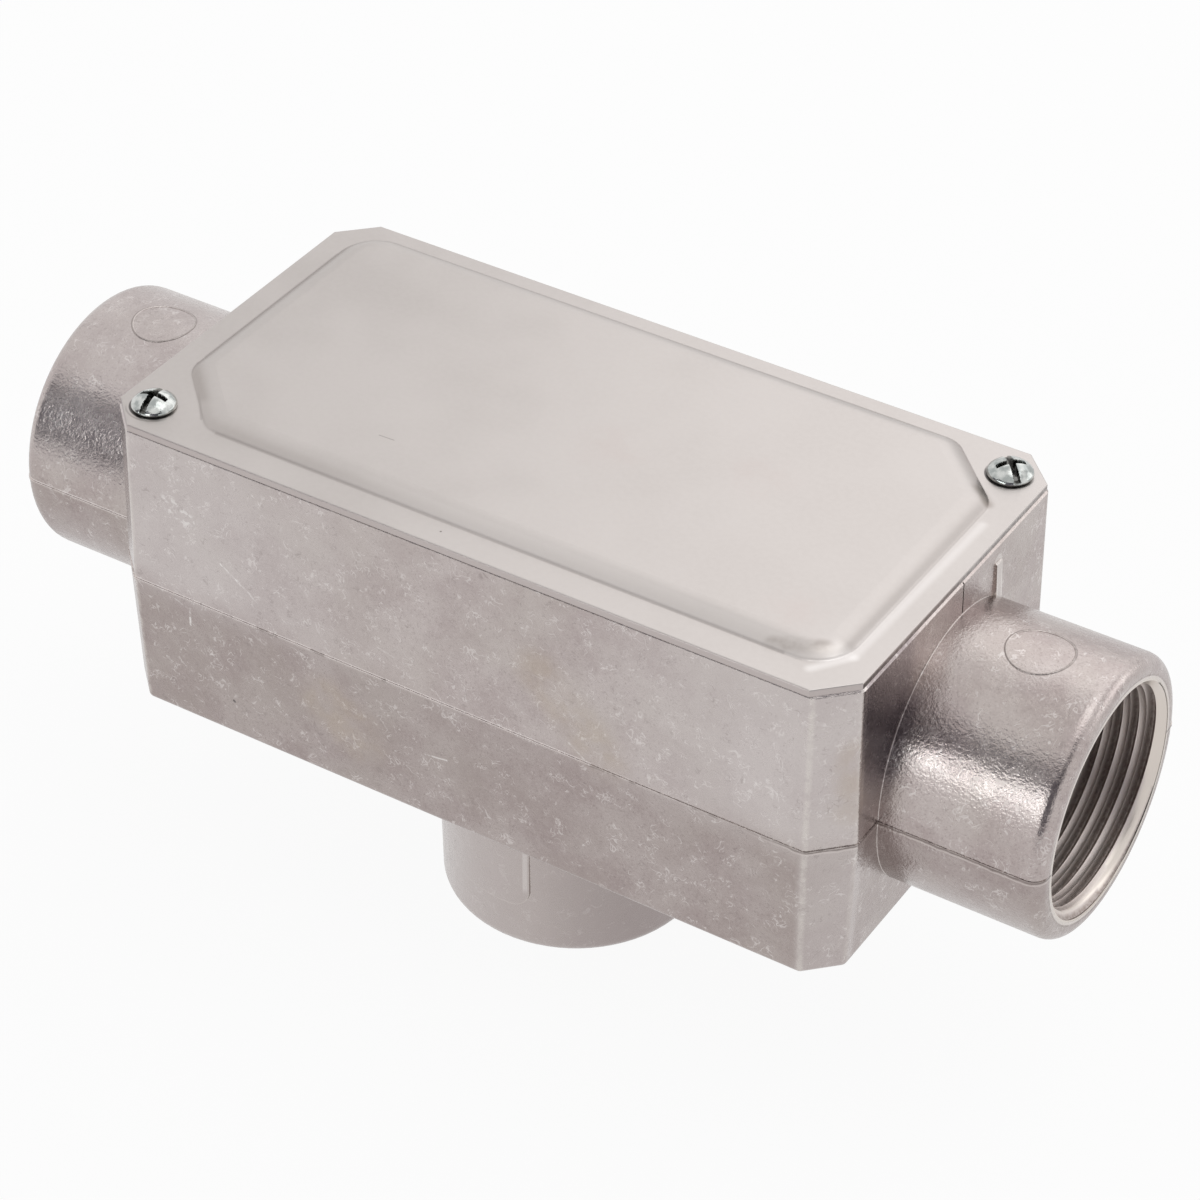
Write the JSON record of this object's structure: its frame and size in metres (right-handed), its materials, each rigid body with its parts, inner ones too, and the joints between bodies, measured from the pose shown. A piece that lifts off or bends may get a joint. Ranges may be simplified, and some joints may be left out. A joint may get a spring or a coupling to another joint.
{
  "type": "conduit body",
  "caption": "Die-cast conduit body with two in-line threaded hubs, a threaded back hub and a screwed-on cover over a wiring chamber.",
  "frame": {"origin": "centre of the back hub's mouth, on the plane of its rim, which the fitting stands on", "axes": "+Z from the back hub up to the cover, +X along the two end hubs, +Y across the body"},
  "size_m": [0.1622, 0.0602, 0.0774],
  "materials": {
    "cast_body": "tumbled die-cast aluminium, mottled warm grey",
    "cover_sheet": "satin stamped aluminium sheet",
    "screw_zinc": "bright zinc-plated steel"
  },
  "bodies": {
    "root": {"body_casting": "cast_body", "cover_plate": "cover_sheet", "cover_screw_front_left": "screw_zinc", "cover_screw_back_right": "screw_zinc"}
  },
  "joints": []
}
